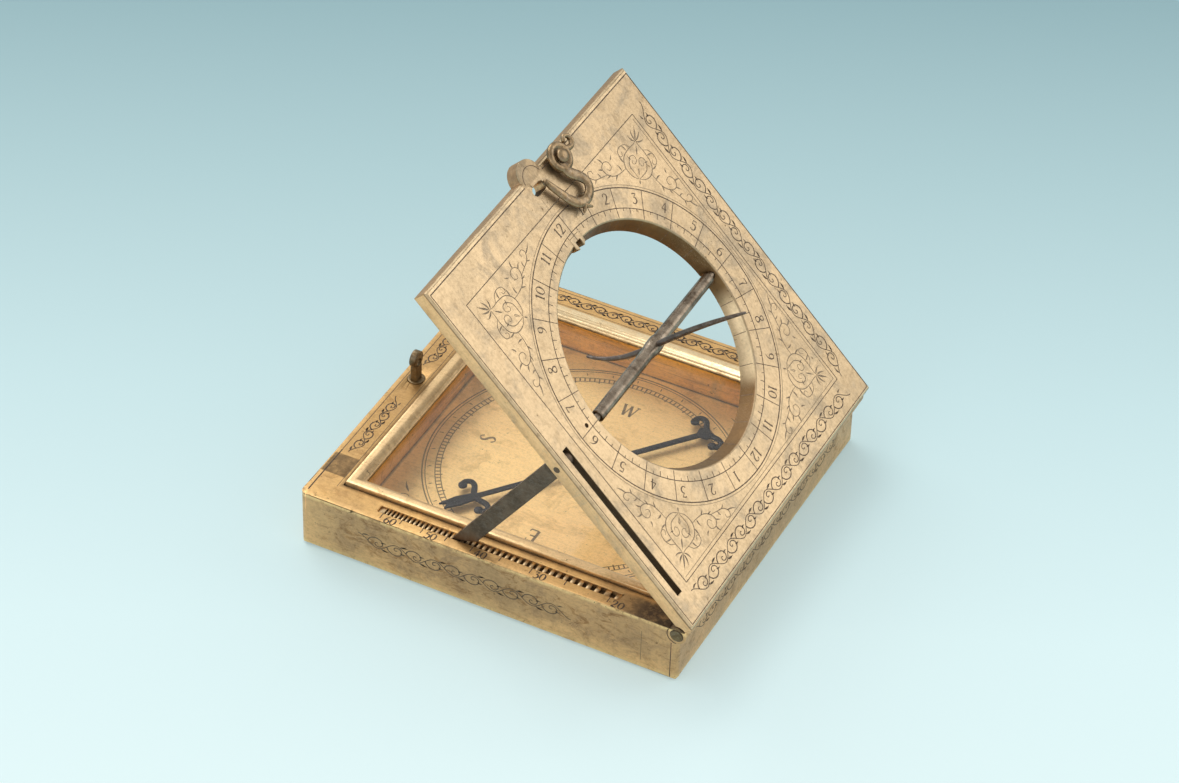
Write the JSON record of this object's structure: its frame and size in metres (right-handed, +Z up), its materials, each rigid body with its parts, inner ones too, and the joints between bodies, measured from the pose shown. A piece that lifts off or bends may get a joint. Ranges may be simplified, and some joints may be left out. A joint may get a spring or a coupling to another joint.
{
  "type": "equinoctial sundial",
  "caption": "Square gilt-brass pocket equinoctial sundial with compass box, hinged hour plate with pivoted gnomon, latitude prop on a toothed rack, staple and hook catch",
  "frame": {"origin": "centre of the case's underside, in the plane it rests on", "axes": "X from the catch side to the hinge side, Y from the side with the latitude rack to the far side, Z up"},
  "size_m": [0.062, 0.059, 0.0554],
  "materials": {
    "case": "aged fire gilding, darkened in the corners",
    "dial": "engraved and aged pale gilding",
    "card": "engraved gilding under glass",
    "fittings": "brown patina",
    "steel": "old polished steel with brown spots",
    "blued_steel": "dark blued steel",
    "glass": "clear pane"
  },
  "bodies": {
    "case": {"case_box": "case", "base_plate": "case", "base_rivets": "fittings", "compass_plate": "card", "glass_pane": "glass", "bezel": "case", "needle_pivot": "fittings", "latitude_rack": "case", "catch_staple": "fittings", "staple_collar": "fittings", "hinge_knuckle_front": "case", "hinge_knuckle_rear": "case", "hinge_pin": "fittings"},
    "plate": {"hour_plate": "dial", "plate_barrel": "dial", "gnomon_rest": "dial", "journal_caps": "dial", "keeper_pin": "steel", "prop_pin": "steel", "hook_washer": "fittings", "hook_rivet": "fittings"},
    "gnomon": {"gnomon_bar": "steel", "gnomon_wire": "blued_steel"},
    "prop": {"prop_arm": "blued_steel"},
    "hook": {"hook": "fittings"},
    "needle": {"needle": "blued_steel", "needle_cap": "fittings"}
  },
  "joints": [
    {"name": "plate_hinge", "type": "hinge", "parent": "case", "child": "plate", "pos_m": [0.02975, 0, 0.0088], "axis": [0, 1, 0], "range_deg": [0, 44.3]},
    {"name": "prop_swing", "type": "hinge", "parent": "plate", "child": "prop", "pos_m": [0.01073, -0.02705, 0.03104], "axis": [0, -1, 0], "range_deg": [0, 80.2]},
    {"name": "gnomon_fold", "type": "hinge", "parent": "plate", "child": "gnomon", "pos_m": [0.01069, 0, 0.03149], "axis": [0, 1, 0], "range_deg": [-94, 80]},
    {"name": "hook_swing", "type": "hinge", "parent": "plate", "child": "hook", "pos_m": [-0.00827, 0.0065, 0.05323], "axis": [0.7157, 0, 0.6984], "range_deg": [0, 60]},
    {"name": "needle_swing", "type": "hinge", "parent": "case", "child": "needle", "pos_m": [0, 0, 0.004], "axis": [0, 0, 1], "continuous": true}
  ],
  "couplings": [
    {"joint": "prop_swing", "follows": "plate_hinge", "ratio": 1.8101}
  ]
}
